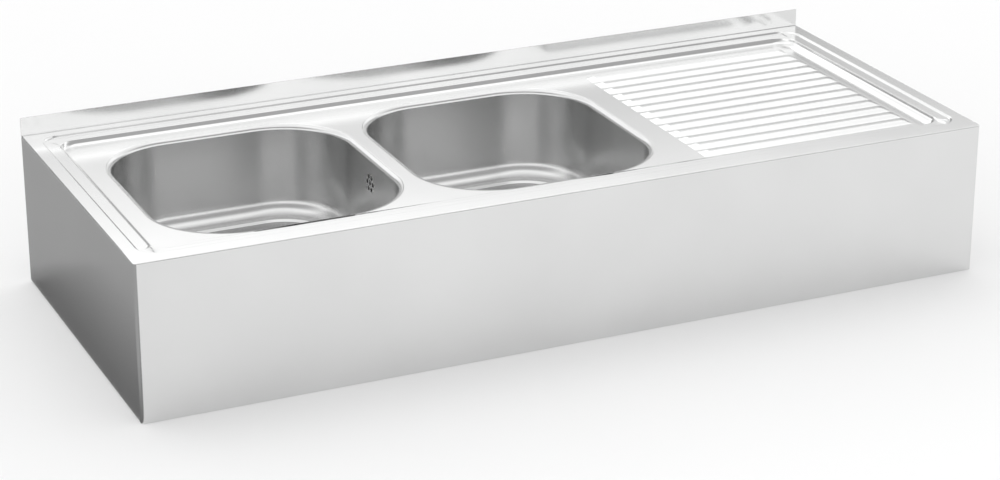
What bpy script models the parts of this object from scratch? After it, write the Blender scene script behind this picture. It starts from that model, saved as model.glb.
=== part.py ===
"""Stainless sink unit: two deep-drawn bowls and a ribbed drainer in one pressed deck, on a folded skirt.

Metres, +Z up, front at -Y. The origin is the middle of the footprint, on the floor.
Each bowl has a basket strainer that lifts out, a waste fitting below it and an overflow in its side wall.
"""

import math

import bmesh
import bpy
from mathutils import Matrix, Vector

MM = 0.001
GAP = 0.3 * MM

# Overall sizes
LENGTH = 1200 * MM
DEPTH = 500 * MM
DECK_Z = 212 * MM
UPSTAND = 25 * MM
SHEET = 1.0 * MM
PANEL = 1.2 * MM

# Pressed deck: distances in from the front, back and side edges
BORDER = (24 * MM, 20 * MM, 19 * MM)
STEP_WIDTH = 3 * MM
STEP_DROP = 2 * MM
RECESS = (40 * MM, 39 * MM, 37 * MM)
RECESS_WALL = 4.5 * MM
RECESS_FOOT = 12 * MM
FOOT_RISE = 1.4 * MM
FLOOR_Z = DECK_Z - 10 * MM
BORDER_RADIUS = 28 * MM
RECESS_RADIUS = 26 * MM

# Drainer ribs
RIBS = 13
RIB_PITCH = 28.2 * MM
RIB_LENGTH = 323 * MM
RIB_WIDTH = 20 * MM
RIB_HEIGHT = 3 * MM
RIB_END_RUN = 10 * MM
RIB_SIDE_RUN = 4.5 * MM
RIB_X = 373.5 * MM

# Bowls: half sizes of the wall at its top, and the levels below
BOWL_X = {"left": -358.5 * MM, "right": 4.5 * MM}
WALL_HALF = (164 * MM, 177 * MM)
WALL_RADIUS = 100 * MM
WALL_DRAFT = 3 * MM
RIM_FILLET = 7 * MM
WALL_FOOT_Z = FLOOR_Z - 102 * MM
FOOT_FILLET = 24 * MM
LEDGE = 3 * MM
LEDGE_RUN = 3 * MM
LEDGE_DROP = 3 * MM
SEAT_Z = 62.5 * MM
SEAT_RADIUS = 57 * MM
DISH_RADIUS = 60 * MM
DISH_Z = 65 * MM
WASTE_HOLE = 44 * MM
BOWL_CORNER_STEPS = 6
FILLET_STEPS = 3

# Waste fitting
CUP_OUTER = 42.5 * MM
CUP_INNER = 40.5 * MM
CUP_FLOOR_Z = 29.5 * MM
NECK_OUTER = 21 * MM
NECK_INNER = 17 * MM
NECK_END_Z = 14 * MM
TAIL_END_Z = 2 * MM
BASKET_FLOOR_Z = 35 * MM
BASKET_RIM_Z = 60.5 * MM
BASKET_HOLES = 8
BASKET_HOLE = 3 * MM
BASKET_HOLE_RING = 20 * MM
POST_RADIUS = 3.5 * MM

# Overflow: seven small holes, in the wall between the two bowls
OVERFLOW_Z = 166 * MM
OVERFLOW_HOLE = 3 * MM
OVERFLOW_PITCH = 9.6 * MM
OVERFLOW_ROW = 8.3 * MM
OVERFLOW_SIDE = {"left": 1, "right": -1}
OVERFLOW_COVER = (22 * MM, 18 * MM)
OVERFLOW_DEPTH = 11 * MM
PIPE_RADIUS = 6 * MM
PIPE_END_Z = 37.5 * MM
PIPE_BEND = 30 * MM

# Skirt and frame
FLANGE = 17 * MM
FOOT_FLANGE = 25 * MM
RAIL_HEIGHT = 55 * MM
CHANNEL_WIDTH = 40 * MM
CHANNEL_HEIGHT = 24 * MM
CHANNEL_X = (290 * MM, 460 * MM)
GUSSET = 70 * MM

STEEL = ("brushed_steel", (0.62, 0.63, 0.64), 0.30, 1.0)
BOWL_STEEL = ("satin_steel", (0.55, 0.56, 0.57), 0.28, 1.0)
FRAME_STEEL = ("frame_steel", (0.50, 0.51, 0.52), 0.42, 1.0)
CHROME = ("polished_steel", (0.75, 0.76, 0.77), 0.12, 1.0)
RUBBER = ("black_rubber", (0.03, 0.03, 0.03), 0.75, 0.0)
PLASTIC = ("white_plastic", (0.78, 0.78, 0.76), 0.45, 0.0)
PAD = ("damping_pad", (0.12, 0.12, 0.13), 0.85, 0.0)


def clear_scene():
    for item in list(bpy.data.objects):
        bpy.data.objects.remove(item, do_unlink=True)


def new_collection(name, hidden):
    group = bpy.data.collections.new(name)
    bpy.context.scene.collection.children.link(group)
    group.hide_render = hidden
    return group


def material(finish):
    name, colour, roughness, metallic = finish
    if name in bpy.data.materials:
        return bpy.data.materials[name]
    made = bpy.data.materials.new(name)
    made.use_nodes = True
    shader = made.node_tree.nodes["Principled BSDF"]
    shader.inputs["Base Color"].default_value = (*colour, 1.0)
    shader.inputs["Roughness"].default_value = roughness
    shader.inputs["Metallic"].default_value = metallic
    return made


def add_object(name, mesh, group, finish=None):
    made = bpy.data.objects.new(name, mesh)
    group.objects.link(made)
    if finish:
        mesh.materials.append(material(finish))
    return made


def from_bmesh(name, bm, finish=None, group=None, smooth_angle=30):
    """Turns a closed bmesh into a part, or into a hidden cutter when it has no finish."""
    bmesh.ops.recalc_face_normals(bm, faces=bm.faces)
    mesh = bpy.data.meshes.new(name)
    bm.to_mesh(mesh)
    bm.free()
    if finish is None:
        made = add_object(name, mesh, cutters)
        made.hide_render = True
        made.display_type = "WIRE"
        return made
    mesh.shade_smooth()
    mesh.set_sharp_from_angle(angle=math.radians(smooth_angle))
    return add_object(name, mesh, group or unit, finish)


def boolean(target, tool, operation):
    step = target.modifiers.new(tool.name, "BOOLEAN")
    step.operation = operation
    step.object = tool
    step.solver = "EXACT"


# ---- outlines and lofts ----


def rounded_loop(half_x, half_y, radius, z, centre=(0.0, 0.0), steps=6):
    """Points round a rounded rectangle, or round a circle when all three sizes are equal."""
    points = []
    for corner in range(4):
        side_x = 1 if corner in (0, 3) else -1
        side_y = 1 if corner < 2 else -1
        middle_x = centre[0] + side_x * (half_x - radius)
        middle_y = centre[1] + side_y * (half_y - radius)
        for step in range(steps + 1):
            turn = math.radians(90 * (corner + step / steps))
            x = middle_x + radius * math.cos(turn)
            points.append(Vector((x, middle_y + radius * math.sin(turn), z)))
    return points


def loft(bm, loops, ring=False):
    """Skins loops of equal length. A ring joins its last loop to its first; otherwise the ends are capped."""
    rows = [[bm.verts.new(point) for point in loop] for loop in loops]
    pairs = list(zip(rows, rows[1:]))
    if ring:
        pairs.append((rows[-1], rows[0]))
    count = len(rows[0])
    for upper, lower in pairs:
        for here in range(count):
            after = (here + 1) % count
            bm.faces.new((upper[here], upper[after], lower[after], lower[here]))
    if not ring:
        bm.faces.new(rows[0])
        bm.faces.new(rows[-1])
    bmesh.ops.remove_doubles(bm, verts=bm.verts, dist=1e-6)


def add_box(bm, low, high):
    size = [top - bottom for bottom, top in zip(low, high)]
    middle = [(top + bottom) / 2 for bottom, top in zip(low, high)]
    placed = Matrix.Translation(middle) @ Matrix.Diagonal((*size, 1.0))
    return bmesh.ops.create_cube(bm, size=1.0, matrix=placed)["verts"]


def box(name, low, high, finish=None):
    bm = bmesh.new()
    add_box(bm, low, high)
    return from_bmesh(name, bm, finish)


def turned(name, profile, finish, centre, steps=24):
    """A turned piece from its closed outline of (radius, z), which runs down the outer side first."""
    mesh = bpy.data.meshes.new(name)
    points = [(radius, 0.0, z) for radius, z in profile]
    edges = [(here, here + 1) for here in range(len(points) - 1)]
    if profile[0][0] > 0:
        edges.append((len(points) - 1, 0))
    mesh.from_pydata(points, edges, [])
    made = add_object(name, mesh, unit, finish)
    made.location = (centre, 0.0, 0.0)
    screw = made.modifiers.new("turn", "SCREW")
    screw.steps = steps
    screw.render_steps = steps
    screw.use_merge_vertices = True
    screw.merge_threshold = 1e-6
    screw.use_normal_calculate = False
    return made


def folded(name, outline, run_axis, start, end, finish):
    """A folded sheet profile: a closed outline in the plane across its run, extruded from start to end."""
    bm = bmesh.new()
    ends = []
    for run in (start, end):
        if run_axis == "X":
            ends.append([Vector((run, across, z)) for across, z in outline])
        else:
            ends.append([Vector((across, run, z)) for across, z in outline])
    loft(bm, ends)
    return from_bmesh(name, bm, finish)


# ---- deck ----


def inset_loop(insets, radius, z):
    """A rounded loop set in from the front, back and side edges of the deck."""
    front, back, side = insets
    half_x = LENGTH / 2 - side
    half_y = (DEPTH - front - back) / 2
    return rounded_loop(half_x, half_y, radius, z, (0.0, (front - back) / 2))


def grown(insets, amount):
    return tuple(value + amount for value in insets)


def deck_levels(drop):
    """Loops across the pressed deck from its outer edge to the recess floor, lowered by drop."""
    plateau_z = DECK_Z - STEP_DROP
    return [
        inset_loop((0.0, 0.5 * MM, 0.0), 1.5 * MM, DECK_Z - drop),
        inset_loop(BORDER, BORDER_RADIUS, DECK_Z - drop),
        inset_loop(grown(BORDER, STEP_WIDTH), BORDER_RADIUS - STEP_WIDTH, plateau_z - drop),
        inset_loop(RECESS, RECESS_RADIUS, plateau_z - drop),
        inset_loop(grown(RECESS, RECESS_WALL), RECESS_RADIUS - RECESS_WALL, FLOOR_Z + FOOT_RISE - drop),
        inset_loop(grown(RECESS, RECESS_FOOT), RECESS_RADIUS - RECESS_FOOT, FLOOR_Z - drop),
    ]


def rib_bars(name, drop, root):
    """Every drainer rib as a bar with sloped sides and ends, from root depth below the floor to its crown."""
    bm = bmesh.new()
    for rib in range(RIBS):
        y = (rib - (RIBS - 1) / 2) * RIB_PITCH
        grow = root / RIB_HEIGHT
        low = (
            RIB_X - RIB_LENGTH / 2 - RIB_END_RUN * grow,
            y - RIB_WIDTH / 2 - RIB_SIDE_RUN * grow,
            FLOOR_Z - root - drop,
        )
        high = (
            RIB_X + RIB_LENGTH / 2 + RIB_END_RUN * grow,
            y + RIB_WIDTH / 2 + RIB_SIDE_RUN * grow,
            FLOOR_Z + RIB_HEIGHT - drop,
        )
        for corner in add_box(bm, low, high):
            if corner.co.z > FLOOR_Z - drop:
                corner.co.x -= math.copysign(RIB_END_RUN * (1 + grow), corner.co.x - RIB_X)
                corner.co.y -= math.copysign(RIB_SIDE_RUN * (1 + grow), corner.co.y - y)
    return from_bmesh(name, bm)


def bowl_opening(side):
    bm = bmesh.new()
    size = rim_half(GAP)
    loops = []
    for z in (FLOOR_Z - 10 * MM, FLOOR_Z + 10 * MM):
        loops.append(rounded_loop(*size, z, (BOWL_X[side], 0.0), BOWL_CORNER_STEPS))
    loft(bm, loops)
    return from_bmesh("opening_" + side, bm)


def build_deck():
    bm = bmesh.new()
    loft(bm, deck_levels(SHEET)[::-1] + deck_levels(0.0))
    deck = from_bmesh("deck", bm, STEEL)
    low = (-LENGTH / 2 + 0.2 * MM, DEPTH / 2 - PANEL, DECK_Z - SHEET - 0.2 * MM)
    high = (LENGTH / 2 - 0.2 * MM, DEPTH / 2, DECK_Z + UPSTAND)
    boolean(deck, box("upstand_sheet", low, high), "UNION")
    boolean(deck, rib_bars("rib_crowns", 0.0, 0.4 * MM), "UNION")
    boolean(deck, rib_bars("rib_hollows", SHEET, 2 * MM), "DIFFERENCE")
    for side in BOWL_X:
        boolean(deck, bowl_opening(side), "DIFFERENCE")


# ---- bowls ----


def rim_half(extra=0.0):
    """Half sizes and corner radius of a bowl's rim, where it meets the deck."""
    grow = RIM_FILLET + extra
    return (WALL_HALF[0] + grow, WALL_HALF[1] + grow, WALL_RADIUS + grow)


def inset_size(inset):
    return (WALL_HALF[0] - inset, WALL_HALF[1] - inset, WALL_RADIUS - inset)


def dish_size(share):
    """Half sizes, radius and height on the dished bottom, from the ledge (0) to the waste seat (1)."""
    outer = inset_size(WALL_DRAFT + FOOT_FILLET + LEDGE + LEDGE_RUN)
    sizes = [start + (DISH_RADIUS - start) * share for start in outer]
    top = WALL_FOOT_Z - FOOT_FILLET - LEDGE_DROP
    return (*sizes, top + (DISH_Z - top) * share)


def bowl_levels(sheet):
    """Sizes from rim to waste hole, inside the bowl when sheet is 0 and outside when it is the thickness."""
    levels = []
    arc = [math.radians(90 * step / FILLET_STEPS) for step in range(FILLET_STEPS + 1)]
    rim_bend = RIM_FILLET - sheet
    for turn in arc:
        size = inset_size(rim_bend * math.sin(turn) - RIM_FILLET)
        levels.append((*size, FLOOR_Z - RIM_FILLET + rim_bend * math.cos(turn)))
    foot_bend = FOOT_FILLET + sheet
    for turn in arc:
        size = inset_size(WALL_DRAFT + FOOT_FILLET - foot_bend * math.cos(turn))
        levels.append((*size, WALL_FOOT_Z - foot_bend * math.sin(turn)))
    ledge_inset = WALL_DRAFT + FOOT_FILLET + LEDGE
    levels.append((*inset_size(ledge_inset), WALL_FOOT_Z - foot_bend))
    for share in (0.0, 0.5, 1.0):
        *size, z = dish_size(share)
        levels.append((*size, z - sheet))
    levels.append((SEAT_RADIUS, SEAT_RADIUS, SEAT_RADIUS, SEAT_Z - sheet))
    levels.append((WASTE_HOLE, WASTE_HOLE, WASTE_HOLE, SEAT_Z - sheet))
    return levels


def loops_at(levels, centre):
    return [rounded_loop(*level, (centre, 0.0), BOWL_CORNER_STEPS) for level in levels]


def add_drill(bm, place, radius):
    """A short round bar for drilling one hole."""
    size = {"radius1": radius, "radius2": radius, "depth": 8 * MM}
    bmesh.ops.create_cone(bm, cap_ends=True, segments=10, matrix=place, **size)


def overflow_drills(side):
    """Seven drills in rows of two, three and two, run through the wall that faces the other bowl."""
    bm = bmesh.new()
    wall_x = BOWL_X[side] + OVERFLOW_SIDE[side] * WALL_HALF[0]
    sideways = Matrix.Rotation(math.radians(90), 4, "Y")
    for row, holes in ((-1, 2), (0, 3), (1, 2)):
        for hole in range(holes):
            y = (hole - (holes - 1) / 2) * OVERFLOW_PITCH
            place = Matrix.Translation((wall_x, y, OVERFLOW_Z + row * OVERFLOW_ROW)) @ sideways
            add_drill(bm, place, OVERFLOW_HOLE)
    return from_bmesh("overflow_drills_" + side, bm)


def build_bowl(side):
    bm = bmesh.new()
    levels = bowl_levels(0.0) + bowl_levels(SHEET)[::-1]
    loft(bm, loops_at(levels, BOWL_X[side]), ring=True)
    bowl = from_bmesh("bowl_" + side, bm, BOWL_STEEL, smooth_angle=40)
    boolean(bowl, overflow_drills(side), "DIFFERENCE")


def build_damping_pad(side):
    """A soft pad under the dished bottom, with a round opening for the waste."""
    bm = bmesh.new()
    thickness = 3 * MM
    top = []
    bottom = []
    for share in (0.06, 0.35, 0.7):
        *size, z = dish_size(share)
        top.append((*size, z - SHEET - GAP))
        bottom.append((*size, z - SHEET - GAP - thickness))
    loft(bm, loops_at(top + bottom[::-1], BOWL_X[side]), ring=True)
    from_bmesh("damping_pad_" + side, bm, PAD)


# ---- waste fitting and basket ----


def ring(name, inner, outer, low, high, finish, centre):
    turned(name, [(outer, high), (outer, low), (inner, low), (inner, high)], finish, centre)


def build_waste(side):
    centre = BOWL_X[side]
    flange_low = SEAT_Z + 1.6 * MM
    flange_top = flange_low + 1.5 * MM
    body = [
        (56 * MM, flange_top),
        (56 * MM, flange_low),
        (CUP_OUTER, flange_low),
        (CUP_OUTER, 31 * MM),
        (37 * MM, 27 * MM),
        (NECK_OUTER, 27 * MM),
        (NECK_OUTER, NECK_END_Z),
        (NECK_INNER, NECK_END_Z),
        (NECK_INNER, CUP_FLOOR_Z),
        (36 * MM, CUP_FLOOR_Z),
        (CUP_INNER, 33 * MM),
        (CUP_INNER, flange_top - 2 * MM),
        (43 * MM, flange_top),
    ]
    turned("strainer_body_" + side, body, CHROME, centre)
    ring("flange_gasket_" + side, 46 * MM, 55 * MM, SEAT_Z + GAP, SEAT_Z + 1.3 * MM, RUBBER, centre)
    under = SEAT_Z - SHEET - GAP
    ring("under_gasket_" + side, 43 * MM, 54 * MM, under - 3 * MM, under, RUBBER, centre)
    build_lock_nut(side, under - 3 * MM - GAP)
    tail = [
        (20.8 * MM, NECK_END_Z - GAP),
        (20.8 * MM, 11 * MM),
        (19 * MM, 11 * MM),
        (19 * MM, TAIL_END_Z),
        (NECK_INNER, TAIL_END_Z),
        (NECK_INNER, NECK_END_Z - GAP),
    ]
    turned("outlet_tail_" + side, tail, PLASTIC, centre)
    slip_nut = [
        (27 * MM, 25 * MM),
        (27 * MM, 7 * MM),
        (19.4 * MM, 7 * MM),
        (19.4 * MM, 10.6 * MM),
        (21.4 * MM, 10.6 * MM),
        (21.4 * MM, 25 * MM),
    ]
    turned("slip_nut_" + side, slip_nut, PLASTIC, centre)


def build_lock_nut(side, top):
    """A wide ring nut with six lugs for a wrench."""
    bm = bmesh.new()
    centre = BOWL_X[side]
    low = top - 11 * MM
    lugs = 6
    per_lug = 8
    outer_top = []
    inner_top = []
    for step in range(lugs * per_lug):
        turn = math.tau * step / (lugs * per_lug)
        reach = 54 * MM if step % per_lug in (1, 2, 3) else 50 * MM
        outer_top.append((centre + reach * math.cos(turn), reach * math.sin(turn)))
        inner_top.append((centre + 42.9 * MM * math.cos(turn), 42.9 * MM * math.sin(turn)))
    loops = []
    for outline, z in ((outer_top, top), (outer_top, low), (inner_top, low), (inner_top, top)):
        loops.append([Vector((x, y, z)) for x, y in outline])
    loft(bm, loops, ring=True)
    from_bmesh("lock_nut_" + side, bm, PLASTIC)


def build_basket(side):
    """The lift-out basket: a perforated cup, a post with a knob, and the rubber stopper below."""
    centre = BOWL_X[side]
    floor_top = BASKET_FLOOR_Z + 1.2 * MM
    cup = [
        (39.6 * MM, BASKET_RIM_Z),
        (39.6 * MM, BASKET_RIM_Z - 1.2 * MM),
        (37.2 * MM, BASKET_RIM_Z - 1.2 * MM),
        (33 * MM, BASKET_FLOOR_Z),
        (4.2 * MM, BASKET_FLOOR_Z),
        (4.2 * MM, floor_top),
        (32 * MM, floor_top),
        (36 * MM, BASKET_RIM_Z),
    ]
    basket = turned("basket_" + side, cup, CHROME, centre)
    bm = bmesh.new()
    for hole in range(BASKET_HOLES):
        turn = math.tau * (hole + 0.5) / BASKET_HOLES
        x = centre + BASKET_HOLE_RING * math.cos(turn)
        place = Matrix.Translation((x, BASKET_HOLE_RING * math.sin(turn), BASKET_FLOOR_Z))
        add_drill(bm, place, BASKET_HOLE)
    boolean(basket, from_bmesh("basket_drills_" + side, bm), "DIFFERENCE")
    knob_z = 53 * MM
    post = [
        (0.0, knob_z + 8 * MM),
        (7 * MM, knob_z + 7.5 * MM),
        (9.5 * MM, knob_z + 5 * MM),
        (9 * MM, knob_z + 2 * MM),
        (4.5 * MM, knob_z),
        (POST_RADIUS, floor_top + 3 * MM),
        (7 * MM, floor_top + 2 * MM),
        (7 * MM, floor_top + GAP),
        (POST_RADIUS, floor_top + GAP),
        (POST_RADIUS, BASKET_FLOOR_Z - GAP),
        (2.5 * MM, BASKET_FLOOR_Z - GAP),
        (2.5 * MM, CUP_FLOOR_Z + 1.5 * MM),
        (0.0, CUP_FLOOR_Z + 1.5 * MM),
    ]
    turned("basket_post_" + side, post, CHROME, centre, 16)
    seal_top = BASKET_FLOOR_Z - GAP
    seal = [
        (12 * MM, seal_top),
        (22 * MM, seal_top - 2 * MM),
        (22 * MM, CUP_FLOOR_Z + GAP),
        (2.8 * MM, CUP_FLOOR_Z + GAP),
        (2.8 * MM, seal_top - 0.4 * MM),
        (5 * MM, seal_top),
    ]
    turned("basket_stopper_" + side, seal, RUBBER, centre)


# ---- overflow ----


def build_overflow(side):
    """A gasket and a shallow cover outside the holes, tilted with the wall, and the pipe to the waste."""
    facing = OVERFLOW_SIDE[side]
    slope = math.atan2(WALL_DRAFT, FLOOR_Z - RIM_FILLET - WALL_FOOT_Z)
    drop = FLOOR_Z - RIM_FILLET - OVERFLOW_Z
    wall_x = BOWL_X[side] + facing * (WALL_HALF[0] - drop * math.tan(slope) + SHEET)
    half_y, half_z = OVERFLOW_COVER
    lip = 5 * MM
    gasket_end = GAP + 1.5 * MM
    start = gasket_end + GAP
    end = start + OVERFLOW_DEPTH
    wall = 1.5 * MM

    def square(out, edge):
        corners = ((1, 1), (-1, 1), (-1, -1), (1, -1))
        return [Vector((facing * out, a * (half_y - edge), b * (half_z - edge))) for a, b in corners]

    bm = bmesh.new()
    frame = [square(GAP, 0.0), square(gasket_end, 0.0), square(gasket_end, lip), square(GAP, lip)]
    loft(bm, frame, ring=True)
    seal = from_bmesh("overflow_gasket_" + side, bm, RUBBER)

    # From the closed inner face, along the inner wall, over the open edge and out to the closed outer face.
    bm = bmesh.new()
    loft(bm, [square(end - wall, wall), square(start, wall), square(start, 0.0), square(end, 0.0)])
    cover = from_bmesh("overflow_cover_" + side, bm, PLASTIC)
    for piece in (seal, cover):
        piece.location = (wall_x, 0.0, OVERFLOW_Z)
        piece.rotation_euler = (0.0, facing * slope, 0.0)
    build_overflow_pipe(side, wall_x + facing * (start + end) / 2, OVERFLOW_Z - half_z - 2 * GAP)


def build_overflow_pipe(side, x, top):
    """Straight down beside the bowl, one smooth bend, and in under the bottom to the strainer body."""
    facing = OVERFLOW_SIDE[side]
    centre = BOWL_X[side]
    points = [(x, top), (x, PIPE_END_Z + PIPE_BEND)]
    bend_steps = 6
    for step in range(1, bend_steps + 1):
        turn = math.radians(90 * step / bend_steps)
        bend_x = x - facing * PIPE_BEND * (1 - math.cos(turn))
        points.append((bend_x, PIPE_END_Z + PIPE_BEND * (1 - math.sin(turn))))
    points.append((centre + facing * (CUP_OUTER + 0.5 * MM), PIPE_END_Z))
    curve = bpy.data.curves.new("overflow_pipe_" + side, "CURVE")
    curve.dimensions = "3D"
    curve.bevel_depth = PIPE_RADIUS
    curve.bevel_resolution = 3
    curve.use_fill_caps = True
    spline = curve.splines.new("POLY")
    spline.points.add(len(points) - 1)
    for place, (point_x, point_z) in zip(spline.points, points):
        place.co = (point_x, 0.0, point_z, 1.0)
    curve.materials.append(material(PLASTIC))
    unit.objects.link(bpy.data.objects.new("overflow_pipe_" + side, curve))


# ---- skirt and frame ----


def build_front_apron():
    front = -DEPTH / 2
    top = DECK_Z - SHEET - GAP
    outline = [
        (front, 0.0),
        (front, top),
        (front + FLANGE, top),
        (front + FLANGE, top - PANEL),
        (front + PANEL, top - PANEL),
        (front + PANEL, PANEL),
        (front + FOOT_FLANGE, PANEL),
        (front + FOOT_FLANGE, 0.0),
    ]
    apron = folded("front_apron", outline, "X", -LENGTH / 2, LENGTH / 2, STEEL)
    notches = bmesh.new()
    for facing in (-1, 1):
        ends = sorted((facing * (LENGTH / 2 - PANEL - GAP), facing * (LENGTH / 2 + MM)))
        low = (ends[0], front + PANEL + 0.01 * MM, -MM)
        add_box(notches, low, (ends[1], front + FOOT_FLANGE + MM, DECK_Z))
    boolean(apron, from_bmesh("apron_notches", notches), "DIFFERENCE")


def build_side_panel(side, facing):
    """A side sheet with top and bottom flanges, cut back where the apron's and the rails' flanges run."""
    edge = facing * LENGTH / 2
    top = DECK_Z - SHEET - GAP
    outline = [
        (edge, 0.0),
        (edge, top),
        (edge - facing * FLANGE, top),
        (edge - facing * FLANGE, top - PANEL),
        (edge - facing * PANEL, top - PANEL),
        (edge - facing * PANEL, PANEL),
        (edge - facing * FOOT_FLANGE, PANEL),
        (edge - facing * FOOT_FLANGE, 0.0),
    ]
    start = -DEPTH / 2 + PANEL + GAP
    end = DEPTH / 2 - GAP
    panel = folded("side_panel_" + side, outline, "Y", start, end, STEEL)
    inside = edge - facing * (PANEL + 0.01 * MM)
    reach = edge - facing * 40 * MM
    notches = bmesh.new()
    cleared = FOOT_FLANGE + GAP
    for y_low, y_high in ((start - MM, -DEPTH / 2 + cleared), (end - cleared, end + MM)):
        low = (min(inside, reach), y_low, -MM)
        high = (max(inside, reach), y_high, DECK_Z)
        add_box(notches, low, high)
    boolean(panel, from_bmesh("notches_" + side, notches), "DIFFERENCE")


def build_rear_rails():
    back = DEPTH / 2 - GAP
    top = DECK_Z - SHEET - GAP
    inner = back - PANEL
    half = LENGTH / 2 - PANEL - GAP
    low = top - RAIL_HEIGHT
    upper = [
        (back, top),
        (back, low),
        (back - FLANGE, low),
        (back - FLANGE, low + PANEL),
        (inner, low + PANEL),
        (inner, top - PANEL),
        (back - FLANGE, top - PANEL),
        (back - FLANGE, top),
    ]
    folded("rear_top_rail", upper, "X", -half, half, FRAME_STEEL)
    height = 32 * MM
    lower = [
        (back, 0.0),
        (back, height),
        (inner, height),
        (inner, PANEL),
        (back - FOOT_FLANGE, PANEL),
        (back - FOOT_FLANGE, 0.0),
    ]
    folded("rear_foot_rail", lower, "X", -half, half, FRAME_STEEL)


def build_channel(index, x):
    """An upside-down top-hat channel that runs front to back under the drainer."""
    top = FLOOR_Z - SHEET - GAP
    half = CHANNEL_WIDTH / 2
    brim = 12 * MM
    low = top - CHANNEL_HEIGHT
    outline = [
        (x - half - brim, top),
        (x - half, top),
        (x - half, low + PANEL),
        (x + half, low + PANEL),
        (x + half, top),
        (x + half + brim, top),
        (x + half + brim, top - PANEL),
        (x + half + PANEL, top - PANEL),
        (x + half + PANEL, low),
        (x - half - PANEL, low),
        (x - half - PANEL, top - PANEL),
        (x - half - brim, top - PANEL),
    ]
    folded("drainer_channel_" + index, outline, "Y", -195 * MM, 195 * MM, FRAME_STEEL)


def build_gusset(name, side_x, side_y):
    """A triangular plate that ties two bottom flanges together at a corner."""
    bm = bmesh.new()
    corner = (side_x * (LENGTH / 2 - 3 * MM), side_y * (DEPTH / 2 - 3 * MM))
    low = PANEL + GAP
    outline = [
        corner,
        (corner[0] - side_x * GUSSET, corner[1]),
        (corner[0] - side_x * GUSSET, corner[1] - side_y * 12 * MM),
        (corner[0] - side_x * 12 * MM, corner[1] - side_y * GUSSET),
        (corner[0], corner[1] - side_y * GUSSET),
    ]
    loft(bm, [[Vector((x, y, z)) for x, y in outline] for z in (low, low + 2 * MM)])
    from_bmesh(name, bm, FRAME_STEEL)


clear_scene()
unit = new_collection("sink_unit", False)
cutters = new_collection("cutters", True)

build_deck()
for bowl_side in BOWL_X:
    build_bowl(bowl_side)
    build_damping_pad(bowl_side)
    build_waste(bowl_side)
    build_basket(bowl_side)
    build_overflow(bowl_side)
build_front_apron()
build_side_panel("left", -1)
build_side_panel("right", 1)
build_rear_rails()
for number, place_x in zip("12", CHANNEL_X):
    build_channel(number, place_x)
build_gusset("gusset_front_left", -1, -1)
build_gusset("gusset_front_right", 1, -1)
build_gusset("gusset_rear_left", -1, 1)
build_gusset("gusset_rear_right", 1, 1)
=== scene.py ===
"""Looks of a stainless sink unit: one pressed deck with two bowls and a ribbed drainer, on a folded skirt.

Metres, +Z up, front at -Y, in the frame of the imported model. Overall places come from the CAD nodes' boxes.
"""

import math

import bmesh
import bpy
from mathutils import Matrix, Vector


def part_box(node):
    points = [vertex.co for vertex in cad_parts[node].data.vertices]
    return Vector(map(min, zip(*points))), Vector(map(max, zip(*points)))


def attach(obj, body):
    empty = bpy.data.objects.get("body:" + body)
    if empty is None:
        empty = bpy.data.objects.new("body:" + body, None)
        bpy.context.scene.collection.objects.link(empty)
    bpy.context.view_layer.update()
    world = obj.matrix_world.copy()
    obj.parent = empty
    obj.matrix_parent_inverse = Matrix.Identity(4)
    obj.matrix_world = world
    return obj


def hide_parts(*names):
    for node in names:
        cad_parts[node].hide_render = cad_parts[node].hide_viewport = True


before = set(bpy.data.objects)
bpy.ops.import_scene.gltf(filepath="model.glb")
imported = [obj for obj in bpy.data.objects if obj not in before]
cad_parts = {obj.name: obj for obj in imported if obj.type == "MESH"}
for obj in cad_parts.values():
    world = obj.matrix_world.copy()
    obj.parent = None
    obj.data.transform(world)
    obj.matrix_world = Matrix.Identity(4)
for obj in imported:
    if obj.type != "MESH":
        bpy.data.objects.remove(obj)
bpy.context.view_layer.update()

MM = 0.001
GAP = 0.3 * MM
SHEET = 1.0 * MM
PANEL = 1.2 * MM

# Meshes: points nearer than WELD are one point, and edges that turn more than SHARP_ANGLE degrees stay sharp
WELD = 1e-6
TINY = 1e-7
SHARP_ANGLE = 35
BOWL_SHARP_ANGLE = 40
MITRE_LIMIT = 0.5
CORNER_STEPS = 20

# Overall places, from the frame
DECK_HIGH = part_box("deck")[1]
HALF_LENGTH = DECK_HIGH.x
HALF_DEPTH = DECK_HIGH.y
UPSTAND = 25 * MM
DECK_Z = DECK_HIGH.z - UPSTAND
SIDES = {"left": -1, "right": 1}
BOWL_X = {side: sum(corner.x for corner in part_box("bowl_" + side)) / 2 for side in SIDES}

# Pressed deck: distances in from the front, back and side edges
BORDER = (23.5 * MM, 18.5 * MM, 18 * MM)
BORDER_RADIUS = 28 * MM
RECESS = (40.5 * MM, 38.5 * MM, 36.5 * MM)
RECESS_RADIUS = 26 * MM
LEAST_RADIUS = 4 * MM
STEP_RUN = 2.4 * MM
STEP_FILLET = 1.0 * MM
SIDE_DROP = 2 * MM
END_DROP = 2.7 * MM
CREASE_RUN = 1.0 * MM
FLOOR_DROP = 10 * MM
FLOOR_Z = DECK_Z - FLOOR_DROP
EDGE_BEND = 1.0 * MM
EDGE_STEPS = 8
EDGE_LIP = 0.1 * MM
EDGE_FLAT = 0.5 * MM
CORNER_BEND = 4.5 * MM
UPSTAND_START = 3 * MM
UPSTAND_BEND = 1.4 * MM
UPSTAND_CHAMFER = 0.25 * MM

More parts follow.
